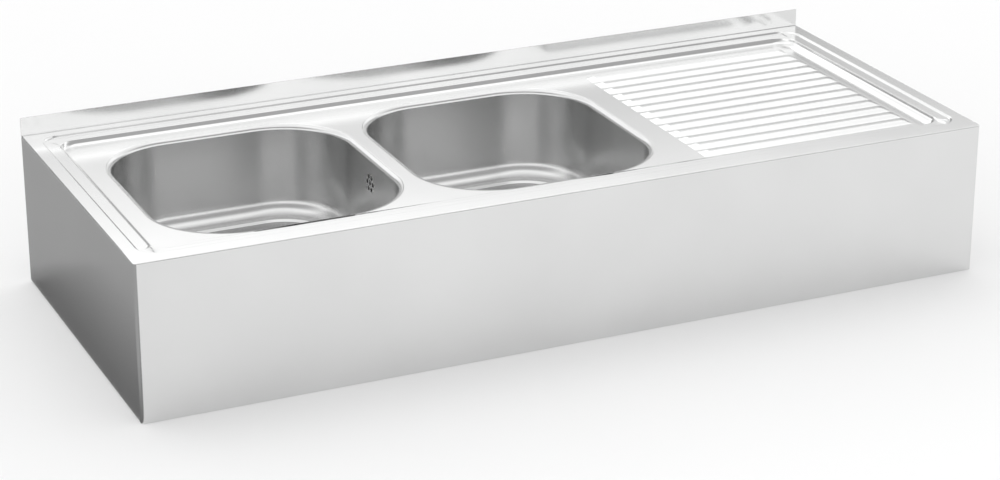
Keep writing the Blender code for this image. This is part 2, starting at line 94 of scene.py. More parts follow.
# Walls of the recess, as (inset, height, rounding) corners in mm, at the deck's sides and at its front and back
PLATEAU = -SIDE_DROP / MM
FLOOR = -FLOOR_DROP / MM
SIDE_WALL = [
    (-3, PLATEAU, 0),
    (0, PLATEAU, 0.7),
    (0.6, -5.5, 0.6),
    (3.4, -8.3, 5),
    (10.2, FLOOR - 0.4, 0),
    (11.5, FLOOR - 0.33, 0),
    (13.5, FLOOR - 0.2, 0),
    (17, FLOOR - 0.08, 0),
    (24, FLOOR, 0),
]
END_WALL = [
    (-3, PLATEAU, 0),
    (0, PLATEAU, 0.9),
    (1.4, -4.6, 8),
    (4.8, FLOOR, 7.5),
    (10.2, FLOOR, 0),
    (11.5, FLOOR, 0),
    (13.5, FLOOR, 0),
    (17, FLOOR, 0),
    (24, FLOOR, 0),
]

# Edge of the deck round a bowl, as (distance out from the bowl's rim, drop)
HOLE_EDGE = [(2 * MM, 0.0), (0.55 * MM, 0.0), (0.4 * MM, 0.06 * MM), (GAP, 0.25 * MM)]
HOLE_STEPS = 28

# Skirt sheets
SKIRT_TOP = DECK_Z - EDGE_BEND - 0.45 * MM
APRON_RETURN = 0.7 * MM
SIDE_START = 0.8 * MM
SIDE_BEND = 1.6 * MM
FOOT_FLANGE = 25 * MM
TOP_FLANGE = 17 * MM
FLANGE_END = 27 * MM

# Drainer ribs
RIBS = 13
RIB_PITCH = 28.2 * MM
RIB_X = 373.5 * MM
RIB_HALF_LENGTH = 161.5 * MM
RIB_HEIGHT = 3.5 * MM
RIB_HALF_WIDTH = 11.5 * MM
RIB_RUN = 8 * MM
RIB_END_RUN = 11 * MM
RIB_MARGIN = 3 * MM
RIB_FLAT_MARGIN = 2 * MM
RIB_CELLS_ALONG = 24
RIB_CELLS_ACROSS = 28

# Bowls: half sizes of the wall at its top
WALL_HALF = (164 * MM, 177 * MM)
WALL_RADIUS = 100 * MM
RIM_FILLET = 7 * MM
RIM_ARC = 0.985
WALL_DRAFT = 3 * MM
WALL_HEIGHT = 102 * MM
FOOT_FILLET = 24 * MM
FOOT_ARC = 0.97
FOOT_FLAT = 3 * MM
LEDGE_RUN = 3 * MM
LEDGE_DROP = 3 * MM
LEDGE_FILLET = 1.2 * MM
LEDGE_FALL = 0.2 * MM
DISH_RADIUS = 60 * MM
DISH_Z = 65 * MM
DISH_CROWN = 0.35
DISH_STEPS = 12
OVERFLOW_Z = 166 * MM
OVERFLOW_HOLE = 3 * MM
OVERFLOW_PITCH = 9.6 * MM
OVERFLOW_ROW = 8.3 * MM
OVERFLOW_ROWS = ((-1, 2), (0, 3), (1, 2))

# Seat of the waste, as (radius, height) in mm from the dish inwards
WASTE_SEAT = ((58.6, 64.6), (57.6, 63.4), (56.6, 62.7), (55, 62.5), (44, 62.5))

# Overflow hose
HOSE_BEND = 30 * MM
HOSE_STEP = 0.6 * MM
HOSE_CUFF = 12 * MM
HOSE_CLEARANCE = 0.05 * MM
HOSE_RIPPLE = 0.9 * MM
HOSE_RIPPLE_PITCH = 3.6 * MM
HOSE_SIDES = 32

# Studio: brightness by height above the horizon in degrees, behind the sink and in front of it
BACK_LEVELS = [
    (0, 0.36),
    (16.5, 0.38),
    (18, 0.5),
    (19.5, 0.74),
    (21, 1.08),
    (23, 1.8),
    (26, 2.0),
    (30, 1.55),
    (36, 1.2),
    (50, 1.25),
    (62, 1.65),
    (76, 1.3),
    (90, 1.15),
]
FRONT_LEVELS = [(0, 1.2), (24, 1.75), (31, 0.5), (57, 0.5), (68, 1.65), (76, 1.3), (90, 1.15)]
BEHIND_BLEND = 0.35
LIGHT_STRENGTH = 2.0

# Card of painted shade that only reflections see: the darker grey is a painted shadow beside the sink's left
# sheet, the lighter grey painted shade on the floor beyond; the run from one to the other, and how far the card
# reaches
CARD_SHADE_GREYS = (0.185, 0.37)
CARD_SHADOW_RUN = 150 * MM
CARD_LEFT = -2.4
CARD_FRONT = -1.2
CARD_BACK = 2.6
CARD_START = 1 * MM


# ---- materials ----

BRUSH_SCALE = 1400.0
BRUSH_STRETCH = 0.012
BRUSH_HEIGHT = 0.02 * MM
CLOUD_STOPS = (0.3, 0.7)
STEEL_TINT = (1.0, 1.002, 1.0)


def new_material(name):
    made = bpy.data.materials.new(name)
    made.use_nodes = True
    nodes = made.node_tree.nodes
    return made, nodes, made.node_tree.links, nodes["Principled BSDF"]


def add_noise(nodes, links, scale, detail, stretch=(1.0, 1.0, 1.0)):
    """A noise texture in the object's own space, squeezed by stretch; returns its value socket."""
    place = nodes.new("ShaderNodeTexCoord")
    mapping = nodes.new("ShaderNodeMapping")
    mapping.inputs["Scale"].default_value = stretch
    noise = nodes.new("ShaderNodeTexNoise")
    noise.inputs["Scale"].default_value = scale
    noise.inputs["Detail"].default_value = detail
    links.new(place.outputs["Object"], mapping.inputs["Vector"])
    links.new(mapping.outputs["Vector"], noise.inputs["Vector"])
    return noise.outputs["Fac"]


def add_ramp(nodes, links, source, stops):
    """A colour ramp from (place, grey or colour) stops; returns its colour socket."""
    ramp = nodes.new("ShaderNodeValToRGB")
    first, last = ramp.color_ramp.elements
    for element, (place, value) in ((first, stops[0]), (last, stops[-1])):
        element.position = place
        element.color = (*value, 1.0)
    for place, value in stops[1:-1]:
        ramp.color_ramp.elements.new(place).color = (*value, 1.0)
    links.new(source, ramp.inputs["Fac"])
    return ramp.outputs["Color"]


def cloud_colour(nodes, links, shader, clouds, low, high):
    """Colours the shader between low and high, by a cloudy noise."""
    stops = [(CLOUD_STOPS[0], low), (CLOUD_STOPS[1], high)]
    links.new(add_ramp(nodes, links, clouds, stops), shader.inputs["Base Color"])


def matt(shader):
    shader.inputs["Roughness"].default_value = 1.0
    shader.inputs["Specular IOR Level"].default_value = 0.0


def add_range(nodes, links, source, low, high):
    spread = nodes.new("ShaderNodeMapRange")
    spread.inputs["To Min"].default_value = low
    spread.inputs["To Max"].default_value = high
    links.new(source, spread.inputs["Value"])
    return spread.outputs["Result"]


def add_bump(nodes, links, shader, source, strength, distance):
    bump = nodes.new("ShaderNodeBump")
    bump.inputs["Strength"].default_value = strength
    bump.inputs["Distance"].default_value = distance
    links.new(source, bump.inputs["Height"])
    links.new(bump.outputs["Normal"], shader.inputs["Normal"])


def steel_colour(value):
    return tuple(value * part for part in STEEL_TINT)


def steel(name, value, roughness, brush, grain=1.0):
    """Stainless steel: fine lines along the brushed axis, and soft clouds where the sheet was handled."""
    made, nodes, links, shader = new_material(name)
    shader.inputs["Metallic"].default_value = 1.0
    stretch = tuple(BRUSH_STRETCH if axis == brush else 1.0 for axis in "XYZ")
    lines = add_noise(nodes, links, BRUSH_SCALE, 2.0, stretch)
    clouds = add_noise(nodes, links, 7.0, 3.0)
    darker, lighter = steel_colour(value * 0.975), steel_colour(value * 1.02)
    cloud_colour(nodes, links, shader, clouds, darker, lighter)
    spread = 0.035 * grain
    rough = add_range(nodes, links, lines, roughness - spread, roughness + spread)
    links.new(rough, shader.inputs["Roughness"])
    add_bump(nodes, links, shader, lines, 0.05 * grain, BRUSH_HEIGHT)
    return made


def moulded(name, low, high, roughness, grain_scale, bump, sheen=0.0):
    """Plastic or rubber: cloudy colour, uneven gloss and a fine moulded grain."""
    made, nodes, links, shader = new_material(name)
    clouds = add_noise(nodes, links, 30.0, 4.0)
    grain = add_noise(nodes, links, grain_scale, 5.0)
    cloud_colour(nodes, links, shader, clouds, low, high)
    rough = add_range(nodes, links, grain, roughness - 0.06, roughness + 0.06)
    links.new(rough, shader.inputs["Roughness"])
    shader.inputs["Sheen Weight"].default_value = sheen
    add_bump(nodes, links, shader, grain, bump, 0.1 * MM)
    return made


STEEL = 0.74
deck_steel = steel("deck_steel", STEEL, 0.17, "X", 0.3)
front_steel = steel("front_steel", STEEL, 0.24, "X")
side_steel = steel("side_steel", STEEL, 0.24, "Y")
# the bowls' steel is darker than the deck's: painted shade for the inside of the deep bowls
bowl_steel = steel("bowl_steel", 0.64, 0.26, "Z", 0.7)
upstand_steel = steel("upstand_steel", STEEL, 0.16, "X", 0.3)
frame_steel = steel("frame_steel", 0.58, 0.38, "X", 1.6)
polished_steel = steel("polished_steel", 0.78, 0.12, "Z", 0.5)
black_rubber = moulded("black_rubber", (0.022,) * 3, (0.04,) * 3, 0.7, 900.0, 0.25, 0.1)
white_plastic = moulded("white_plastic", (0.76, 0.76, 0.74), (0.82, 0.82, 0.80), 0.42, 700.0, 0.12)
pad_rubber = moulded("pad_rubber", (0.075,) * 3, (0.12, 0.12, 0.125), 0.82, 350.0, 0.6, 0.2)


# ---- outlines and lofts ----


def eased(share):
    """0 to 1 with a level start and end."""
    return share * share * (3 - 2 * share)


def rounded_path(corners, steps=6):
    """Points of a 2-D line given as (u, v, radius) corners, each rounded by an arc of its radius."""
    points = []
    for index, (u, v, radius) in enumerate(corners):
        here = Vector((u, v))
        if radius == 0:
            points.append(here)
            continue
        before = (Vector(corners[index - 1][:2]) - here).normalized()
        after = (Vector(corners[index + 1][:2]) - here).normalized()
        half = before.angle(after) / 2
        centre = here + (before + after).normalized() * radius / math.sin(half)
        start = here + before * radius / math.tan(half) - centre
        end = here + after * radius / math.tan(half) - centre
        turn = start.angle(end)
        for step in range(steps + 1):
            share = step / steps
            mixed = start * math.sin((1 - share) * turn) + end * math.sin(share * turn)
            points.append(centre + mixed / math.sin(turn))
    return points


def offset_line(line, amount):
    """The line moved sideways by amount, to the left of its direction."""
    moved = []
    for index, point in enumerate(line):
        into = (point - line[index - 1]).normalized() if index else None
        out = (line[index + 1] - point).normalized() if index + 1 < len(line) else into
        into = into or out
        along = (into + out).normalized()
        side = Vector((-along.y, along.x))
        moved.append(point + side * amount / max(MITRE_LIMIT, side.dot(Vector((-into.y, into.x)))))
    return moved


def quarter_turn(middle, radius, start, steps):
    """Points of a level arc of 90 degrees round its middle, anticlockwise from the start angle in degrees."""
    turns = [math.radians(start + 90 * step / steps) for step in range(steps + 1)]
    return [middle + Vector((math.cos(turn), math.sin(turn), 0)) * radius for turn in turns]


def rounded_loop(half_x, half_y, radius, z, centre=(0.0, 0.0), steps=CORNER_STEPS, straight=1):
    """Points round a rounded rectangle, or round a circle when all three sizes are equal."""
    corners = []
    for corner in range(4):
        side_x = 1 if corner in (0, 3) else -1
        side_y = 1 if corner < 2 else -1
        middle_x = centre[0] + side_x * (half_x - radius)
        middle_y = centre[1] + side_y * (half_y - radius)
        corners.append(quarter_turn(Vector((middle_x, middle_y, z)), radius, 90 * corner, steps))
    points = []
    for corner, arc in enumerate(corners):
        points += arc
        after = corners[(corner + 1) % 4][0]
        points += [arc[-1].lerp(after, step / straight) for step in range(1, straight)]
    return points


def skin(bm, rows, closed_rows=False, closed_across=True):
    """Joins rows of equal length with faces; rows can close on themselves and the last can join the first."""
    grid = [[bm.verts.new(point) for point in row] for row in rows]
    pairs = list(zip(grid, grid[1:]))
    if closed_rows:
        pairs.append((grid[-1], grid[0]))
    count = len(rows[0])
    for upper, lower in pairs:
        for here in range(count if closed_across else count - 1):
            after = (here + 1) % count
            bm.faces.new((upper[here], upper[after], lower[after], lower[here]))
    return grid


def finish_mesh(name, bm, finish, angle=SHARP_ANGLE):
    """Turns a bmesh into an object with one material and smooth shading up to the given angle."""
    bmesh.ops.remove_doubles(bm, verts=bm.verts, dist=WELD)
    bmesh.ops.dissolve_degenerate(bm, edges=bm.edges, dist=TINY)
    bmesh.ops.recalc_face_normals(bm, faces=bm.faces)
    mesh = bpy.data.meshes.new(name)
    bm.to_mesh(mesh)
    bm.free()
    mesh.shade_smooth()
    mesh.set_sharp_from_angle(angle=math.radians(angle))
    made = bpy.data.objects.new(name, mesh)
    bpy.context.scene.collection.objects.link(made)
    if finish:
        mesh.materials.append(finish)
    return made


def applied(made, angle=SHARP_ANGLE):
    """Replaces an object's mesh by its evaluated mesh, and drops its modifiers."""
    bpy.context.view_layer.update()
    graph = bpy.context.evaluated_depsgraph_get()
    mesh = bpy.data.meshes.new_from_object(made.evaluated_get(graph))
    made.modifiers.clear()
    made.data = mesh
    mesh.shade_smooth()
    mesh.set_sharp_from_angle(angle=math.radians(angle))


def steady_normals(made):
    """Keeps the flat faces flat in smooth shading, with the bend in the narrow faces beside them."""
    made.modifiers.new("normals", "WEIGHTED_NORMAL").keep_sharp = True
    applied(made)


def cut(made, bm):
    """Takes a closed bmesh away from an object."""
    tool = finish_mesh(made.name + "_tool", bm, None)
    step = made.modifiers.new("cut", "BOOLEAN")
    step.operation = "DIFFERENCE"
    step.object = tool
    step.solver = "EXACT"
    applied(made)
    bpy.data.objects.remove(tool, do_unlink=True)


def add_drill(tools, place, radius, depth, segments):
    """Adds a cylinder along the Z axis of its place to a bmesh of tools to cut with."""
    size = {"radius1": radius, "radius2": radius, "depth": depth}
    bmesh.ops.create_cone(tools, cap_ends=True, segments=segments, matrix=place, **size)


def placed(piece, body, slot, *nodes):
    """Gives a piece its body; it stands for the named CAD nodes, which it hides. Its slot is not used."""
    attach(piece, body)
    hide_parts(*nodes)


def prism(name, outline, axis, start, end, finish):
    """A closed outline, in the plane across its run, extruded along the X or Y axis or upwards along Z."""
    ends = []
    for run in (start, end):
        if axis == "X":
            ends.append([Vector((run, u, v)) for u, v in outline])
        elif axis == "Y":
            ends.append([Vector((u, run, v)) for u, v in outline])
        else:
            ends.append([Vector((u, v, run)) for u, v in outline])
    bm = bmesh.new()
    grid = skin(bm, ends)
    for row in grid:
        bm.faces.new(row)
    return finish_mesh(name, bm, finish)


def turned(name, corners, centre, finish, steps=64):
    """A turned piece from its outline of (radius, z, rounding) corners in mm; the last corner stays sharp."""
    closed = corners[0][0] > 0
    bm = bmesh.new()
    loops = []
    for point in rounded_path(corners, 4):
        radius = max(point.x, 0.0) * MM
        loops.append(rounded_loop(radius, radius, radius, point.y * MM, (centre, 0.0), steps // 4))
    skin(bm, loops, closed_rows=closed)
    return finish_mesh(name, bm, finish)


# ---- deck ----


def inset_loop(insets, radius, z, steps=32):
    """A rounded loop at height z, set in from the deck's edges."""
    front, back, side = insets
    half_y = HALF_DEPTH - (front + back) / 2
    return rounded_loop(HALF_LENGTH - side, half_y, radius, z, (0.0, (front - back) / 2), steps)


def grown(insets, amount):
    return tuple(value + amount for value in insets)


def recess_loop(place):
    """The loop round the recess at one place, (inset, height) in mm, of its section."""
    inset = place.x * MM
    radius = max(RECESS_RADIUS - inset, LEAST_RADIUS)
    return inset_loop(grown(RECESS, inset), radius, DECK_Z + place.y * MM)


def mixed_loop(at_side, at_end):
    """A loop of the recess whose place in the section differs at the deck's sides and at its front and back."""
    side_loop, end_loop = recess_loop(at_side), recess_loop(at_end)
    count = len(side_loop) // 4
    mixed = []
    for index, (side_point, end_point) in enumerate(zip(side_loop, end_loop)):
        turn = math.radians(90 * (index % count) / (count - 1) + 90 * (index // count))
        mixed.append(end_point.lerp(side_point, max(0.0, math.cos(turn)) ** 2))
    return mixed


def deck_loops():
    """Loops across the pressed deck, from the flat border over the step and the recess wall to the floor."""
    loops = []
    run, fillet = STEP_RUN / MM, STEP_FILLET / MM
    step = [(-1, 0, 0), (0, 0, fillet), (run, PLATEAU, fillet), (run + 3, PLATEAU, 0)]
    for point in rounded_path(step):
        inset = point.x * MM
        loops.append(inset_loop(grown(BORDER, inset), BORDER_RADIUS - inset, DECK_Z + point.y * MM))
    for at_side, at_end in zip(rounded_path(SIDE_WALL, 8), rounded_path(END_WALL, 8)):
        loops.append(mixed_loop(at_side, at_end))
    return loops


def deepened(depth):
    """Depth of the middle stretch of the deck, from its depth at the two sides."""
    if depth <= SIDE_DROP:
        return depth * END_DROP / SIDE_DROP
    if depth >= FLOOR_DROP:
        return depth
    return END_DROP + (depth - SIDE_DROP) * (FLOOR_DROP - END_DROP) / (FLOOR_DROP - SIDE_DROP)


def crease(bm):
    """Lets the middle stretch down a little, so that a straight crease crosses the step at each side."""
    line = HALF_LENGTH - RECESS[2]
    for x in (line, line - CREASE_RUN / 2, line - CREASE_RUN):
        for side in (-1, 1):
            geometry = bm.verts[:] + bm.edges[:] + bm.faces[:]
            place = {"plane_co": (side * x, 0, 0), "plane_no": (1, 0, 0)}
            bmesh.ops.bisect_plane(bm, geom=geometry, dist=TINY, **place)
    front, back = BORDER[0] - HALF_DEPTH, HALF_DEPTH - BORDER[1]
    for vertex in bm.verts:
        depth = DECK_Z - vertex.co.z
        share = min(1.0, max(0.0, (line - abs(vertex.co.x)) / CREASE_RUN))
        if front - MM < vertex.co.y < back + MM:
            vertex.co.z = DECK_Z - depth - (deepened(depth) - depth) * eased(share)


def rim_size(extra):
    grow = RIM_FILLET + extra
    return WALL_HALF[0] + grow, WALL_HALF[1] + grow, WALL_RADIUS + grow


def rib_height(along, across):
    """Height of a rounded rib at a distance in from its end and from its side, mitred at the corners."""
    share = min(along / RIB_END_RUN, across / RIB_RUN)
    share = min(1.0, max(0.0, share))
    return RIB_HEIGHT * (1 - math.cos(share * math.pi)) / 2


def spaced(start, end, count):
    return [start + (end - start) * step / count for step in range(count + 1)]


def rib_field(bm):
    """A fine grid over the drainer with every rib raised from it; returns the outer edges of the grid."""
    reach = RIB_HALF_LENGTH + RIB_MARGIN
    ramp = RIB_HALF_LENGTH - RIB_END_RUN - RIB_FLAT_MARGIN
    xs = spaced(-reach, -ramp, RIB_CELLS_ALONG)
    xs += spaced(-ramp, ramp, RIB_CELLS_ALONG)[1:]
    xs += spaced(ramp, reach, RIB_CELLS_ALONG)[1:]
    half = RIBS * RIB_PITCH / 2
    ys = spaced(-half, half, RIBS * RIB_CELLS_ACROSS)
    rows = []
    for y in ys:
        rib = min(RIBS - 1, max(0, round(y / RIB_PITCH + (RIBS - 1) / 2)))
        off = abs(y - (rib - (RIBS - 1) / 2) * RIB_PITCH)
        row = []
        for x in xs:
            z = rib_height(RIB_HALF_LENGTH - abs(x), RIB_HALF_WIDTH - off)
            row.append(Vector((RIB_X + x, y, FLOOR_Z + z)))
        rows.append(row)
    grid = skin(bm, rows, closed_across=False)
    right = [row[-1] for row in grid[1:]]
    left = [row[0] for row in grid[-2:0:-1]]
    return grid[0] + right + grid[-1][-2::-1] + left


def edges_round(bm, loop):
    """The edges from point to point round a closed loop, made where there are none."""
    found = []
    for here, after in zip(loop, loop[1:] + loop[:1]):
        edge = bm.edges.get((here, after)) or bm.edges.new((here, after))
        found.append(edge)
    return found


def edge_row(inset, z):
    """Points along the deck's edge, from its back left corner round the front to its back right corner."""
    reach = HALF_LENGTH - inset
    radius = CORNER_BEND - inset
    points = [Vector((-reach, HALF_DEPTH - UPSTAND_START, z))]
    for side, start in ((-1, 180), (1, 270)):
        middle = Vector((side * (reach - radius), inset - HALF_DEPTH + radius, z))
        points += quarter_turn(middle, radius, start, EDGE_STEPS)
    points.append(Vector((reach, HALF_DEPTH - UPSTAND_START, z)))
    return points


def pan_surface():
    """The pressed deck's upper surface, open round its edge and at the two bowls."""
    bm = bmesh.new()
    rows = [edge_row(0.0, DECK_Z - EDGE_BEND - EDGE_LIP)]
    for step in range(EDGE_STEPS + 1):
        turn = math.radians(90 * (EDGE_STEPS - step) / EDGE_STEPS)
        inset = EDGE_BEND - EDGE_BEND * math.sin(turn)
        rows.append(edge_row(inset, DECK_Z - EDGE_BEND * (1 - math.cos(turn))))
    rows.append(edge_row(EDGE_BEND + EDGE_FLAT, DECK_Z))
    grid = skin(bm, rows, closed_across=False)
    loops = skin(bm, deck_loops())
    border = edges_round(bm, grid[-1]) + edges_round(bm, loops[0])
    bmesh.ops.triangle_fill(bm, use_beauty=True, edges=border, normal=(0, 0, 1))
    field = rib_field(bm)
    holes = []
    for side in SIDES:
        rings = []
        for extra, drop in HOLE_EDGE:
            rings.append(rounded_loop(*rim_size(extra), FLOOR_Z - drop, (BOWL_X[side], 0.0), HOLE_STEPS))
        holes += edges_round(bm, skin(bm, rings)[0])
    floor = edges_round(bm, loops[-1]) + edges_round(bm, field) + holes
    bmesh.ops.triangle_fill(bm, use_beauty=True, edges=floor, normal=(0, 0, 1))
    crease(bm)
    return bm


def build_deck():
    """The pressed sheet with its thickness, and the upstand folded up from its back edge."""
    deck = finish_mesh("pressed_deck", pan_surface(), deck_steel)
    thick = deck.modifiers.new("sheet", "SOLIDIFY")
    thick.thickness = SHEET
    thick.offset = -1.0
    thick.use_even_offset = True
    applied(deck)
    back = HALF_DEPTH
    front_face = back - PANEL
    corners = [
        (back - UPSTAND_START, DECK_Z, 0),
        (front_face, DECK_Z, UPSTAND_BEND),
        (front_face, DECK_HIGH.z, 0),
    ]
    outline = rounded_path(corners)
    outline += [
        Vector((back - UPSTAND_CHAMFER, DECK_HIGH.z)),
        Vector((back, DECK_HIGH.z - UPSTAND_CHAMFER)),
        Vector((back, DECK_Z - SHEET)),
        Vector((back - UPSTAND_START, DECK_Z - SHEET)),
    ]
    upstand = prism("upstand_sheet", outline, "X", -HALF_LENGTH, HALF_LENGTH, upstand_steel)
    bm = bmesh.new()
    bm.from_mesh(deck.data)
    pressed = len(bm.faces)
    bm.from_mesh(upstand.data)
    bm.faces.ensure_lookup_table()
    for face in bm.faces[pressed:]:
        face.material_index = 1
    bm.to_mesh(deck.data)
    bm.free()
    deck.data.materials.append(upstand_steel)
    bpy.data.objects.remove(upstand, do_unlink=True)
    deck.data.set_sharp_from_angle(angle=math.radians(SHARP_ANGLE))
    steady_normals(deck)
    placed(deck, "sink", "pressed_steel", "deck")


# ---- bowls ----


def inset_size(inset):
    return WALL_HALF[0] - inset, WALL_HALF[1] - inset, WALL_RADIUS - inset


def bowl_path():
    """The bowl's section from rim to dish, as (inset from the wall's top, height)."""
    rim = FLOOR_Z
    foot = rim - WALL_HEIGHT - FOOT_FILLET
    ledge = WALL_DRAFT + FOOT_FILLET + FOOT_FLAT
    corners = [
        (-RIM_FILLET, rim, 0),
        (0.0, rim, RIM_FILLET * RIM_ARC),
        (WALL_DRAFT, foot, FOOT_FILLET * FOOT_ARC),
        (ledge, foot, LEDGE_FILLET),
        (ledge + LEDGE_RUN, foot - LEDGE_DROP, LEDGE_FILLET),
        (ledge + 2 * LEDGE_RUN, foot - LEDGE_DROP - LEDGE_FALL, 0),
    ]
    return rounded_path(corners, 12)


def dish_level(share, start):
    """Size and height on the dished bottom, from the end of the section (0) to the waste seat (1)."""
    outer = inset_size(start.x)
    sizes = [size + (DISH_RADIUS - size) * share for size in outer]
    fall = share + DISH_CROWN * share * (1 - share)
    return (*sizes, start.y + (DISH_Z - start.y) * fall)


def bowl_levels(sheet):
    """Sizes and heights of the bowl's loops from rim to waste, for the face a sheet's thickness in."""
    path = bowl_path()
    levels = []
    for point in offset_line(path, -sheet) if sheet else path:
        levels.append((*inset_size(point.x), point.y))
    for step in range(1, DISH_STEPS + 1):
        *size, z = dish_level(step / DISH_STEPS, path[-1])
        levels.append((*size, z - sheet))
    for radius, z in WASTE_SEAT:
        levels.append((radius * MM, radius * MM, radius * MM, z * MM - sheet))
    return levels


def build_bowl(side):
    """A bowl with its overflow holes, which are in its wall next to the other bowl."""
    bm = bmesh.new()
    levels = bowl_levels(0.0) + bowl_levels(SHEET)[::-1]
    centre = (BOWL_X[side], 0.0)
    skin(bm, [rounded_loop(*level, centre, CORNER_STEPS, 8) for level in levels], closed_rows=True)
    bowl = finish_mesh("deep_bowl_" + side, bm, bowl_steel, BOWL_SHARP_ANGLE)
    tools = bmesh.new()
    wall_x = BOWL_X[side] - SIDES[side] * WALL_HALF[0]
    sideways = Matrix.Rotation(math.radians(90), 4, "Y")
    for row, holes in OVERFLOW_ROWS:
        for hole in range(holes):
            y = (hole - (holes - 1) / 2) * OVERFLOW_PITCH
            place = Matrix.Translation((wall_x, y, OVERFLOW_Z + row * OVERFLOW_ROW)) @ sideways
            add_drill(tools, place, OVERFLOW_HOLE, 8 * MM, 24)
    cut(bowl, tools)
    bowl.data.set_sharp_from_angle(angle=math.radians(BOWL_SHARP_ANGLE))
    placed(bowl, "sink", "bowl_steel", "bowl_" + side)


# ---- waste fitting and basket: outlines in mm from the bowl's own axis ----

CUP_OUTLINE = [
    (56, 65.6, 0.7),
    (56, 64.1, 0.5),
    (42.5, 64.1, 0.5),
    (42.5, 31, 2),
    (37, 27, 1.5),
    (21, 27, 1.5),
    (21, 14, 0.3),
    (17, 14, 0.3),
    (17, 29.5, 1.2),
    (36, 29.5, 1.5),
    (40.5, 33, 1.5),
    (40.5, 63.6, 1),
    (43, 65.6, 0),
]
BASKET_OUTLINE = [
    (39.6, 60.5, 0.5),
    (39.6, 59.3, 0.5),
    (37.2, 59.3, 0.6),
    (33, 35, 2.8),
    (4.2, 35, 0.2),
    (4.2, 36.2, 0.2),
    (32, 36.2, 1.8),
    (36, 60.5, 0),
]
POST_OUTLINE = [
    (0, 61, 0),
    (7, 60.5, 2),
    (9.5, 58, 1.5),
    (9, 55, 1),
    (4.5, 53, 1.5),
    (3.5, 39.2, 1),
    (7, 38.2, 0.4),
    (7, 36.5, 0.2),
    (3.5, 36.5, 0.1),
    (3.5, 34.7, 0.1),
    (2.5, 34.7, 0.1),
    (2.5, 31, 0.3),
    (0, 31, 0),
]
STOPPER_OUTLINE = [
    (12, 34.7, 1),
    (22, 32.7, 0.6),
    (22, 31.8, 0.2),
    (20.8, 31.5, 0.2),
    (20.8, 30.9, 0.2),
    (22, 30.6, 0.2),
    (22, 29.8, 0.3),
    (2.8, 29.8, 0.2),
    (2.8, 34.3, 0.1),
    (5, 34.7, 0),
]
TAIL_OUTLINE = [
    (20.8, 13.7, 0.3),
    (20.8, 11, 0.3),
    (19, 11, 0.6),
    (19, 2, 0.4),
    (17, 2, 0.4),
    (17, 13.7, 0),
]
FLANGE_GASKET_OUTLINE = [(55, 63.8, 0.4), (55, 62.8, 0.4), (46, 62.8, 0.4), (46, 63.8, 0)]
UNDER_GASKET_OUTLINE = [(54, 61.2, 0.8), (54, 58.2, 0.8), (43, 58.2, 0.5), (43, 61.2, 0)]

# Ring nuts: bore, and the outer side's (share, z) from the upper rim down; share 0 is a chamfered rim
LOCK_NUT_BORE = 42.9
LOCK_NUT_RIMS = [(0, 57.9), (1, 57.1), (1, 47.7), (0, 46.9)]
LUGS = 6
LUG_ROOT = 49.2
LUG_CHAMFER = 0.7
LUG_HEIGHT = 4.0
SLIP_NUT_BORE = 21.4
SLIP_NUT_RIMS = [(0, 25), (0, 23.6), (1, 22.4), (1, 9.6), (0, 8.4), (0, 7)]
GRIP_WAVES = 12
GRIP_ROOT = 26.2
GRIP_HEIGHT = 0.75
RING_STEPS = 192

# Holes in the basket: its floor has rings of (ring radius, count, hole radius), its wall two staggered rows
BASKET_HOLE_RINGS = ((13, 8, 1.6), (20, 14, 1.8), (27, 20, 1.8))
BASKET_FLOOR_Z = 35.6
BASKET_WALL_ROWS = (43.5, 49.5)
BASKET_WALL_RADIUS = 35
BASKET_WALL_HOLES = 24
BASKET_WALL_HOLE = 1.5


def shaped_ring(name, centre, bore, rims, reach):
    """A plastic ring with a shaped outer side, whose radius is reach(turn, share) at each of its rims."""
    turns = [math.tau * step / RING_STEPS for step in range(RING_STEPS)]
    levels = [([reach(turn, share) for turn in turns], z) for share, z in rims]
    levels += [([bore] * RING_STEPS, z) for z in (rims[-1][1], rims[0][1])]
    rows = []
    for radii, z in levels:
        row = []
        for radius, turn in zip(radii, turns):
            out = radius * MM
            row.append(Vector((centre + out * math.cos(turn), out * math.sin(turn), z * MM)))
        rows.append(row)
    bm = bmesh.new()
    skin(bm, rows, closed_rows=True)
    return finish_mesh(name, bm, white_plastic)


def lug_reach(turn, share):
    """Lock nut: six wide lugs for a wrench, with sloped flanks."""
    wave = math.cos(LUGS * turn)
    lug = min(1.0, max(0.0, (wave - 0.1) / 0.35))
    return LUG_ROOT + LUG_CHAMFER * share + LUG_HEIGHT * eased(lug)


def grip_reach(turn, share):
    """Slip nut: rounded finger ribs that run out at both rims."""
    return GRIP_ROOT + GRIP_HEIGHT * share * math.sin(GRIP_WAVES * turn) ** 2


def build_waste(side):
    """The fixed waste fitting: strainer body, two gaskets, outlet tail and two nuts."""
    centre = BOWL_X[side]
    cup = turned("waste_cup_" + side, CUP_OUTLINE, centre, polished_steel, 96)
    placed(cup, "sink", "polished_steel", "strainer_body_" + side)
    for kind, outline in (("flange_gasket", FLANGE_GASKET_OUTLINE), ("under_gasket", UNDER_GASKET_OUTLINE)):
        seal = turned(f"round_{kind}_{side}", outline, centre, black_rubber, 96)
        placed(seal, "sink", "black_rubber", f"{kind}_{side}")
    tail = turned("drain_tail_" + side, TAIL_OUTLINE, centre, white_plastic)
    placed(tail, "sink", "white_plastic", "outlet_tail_" + side)
    nut = shaped_ring("lugged_nut_" + side, centre, LOCK_NUT_BORE, LOCK_NUT_RIMS, lug_reach)
    placed(nut, "sink", "white_plastic", "lock_nut_" + side)
    nut = shaped_ring("ribbed_nut_" + side, centre, SLIP_NUT_BORE, SLIP_NUT_RIMS, grip_reach)
    placed(nut, "sink", "white_plastic", "slip_nut_" + side)


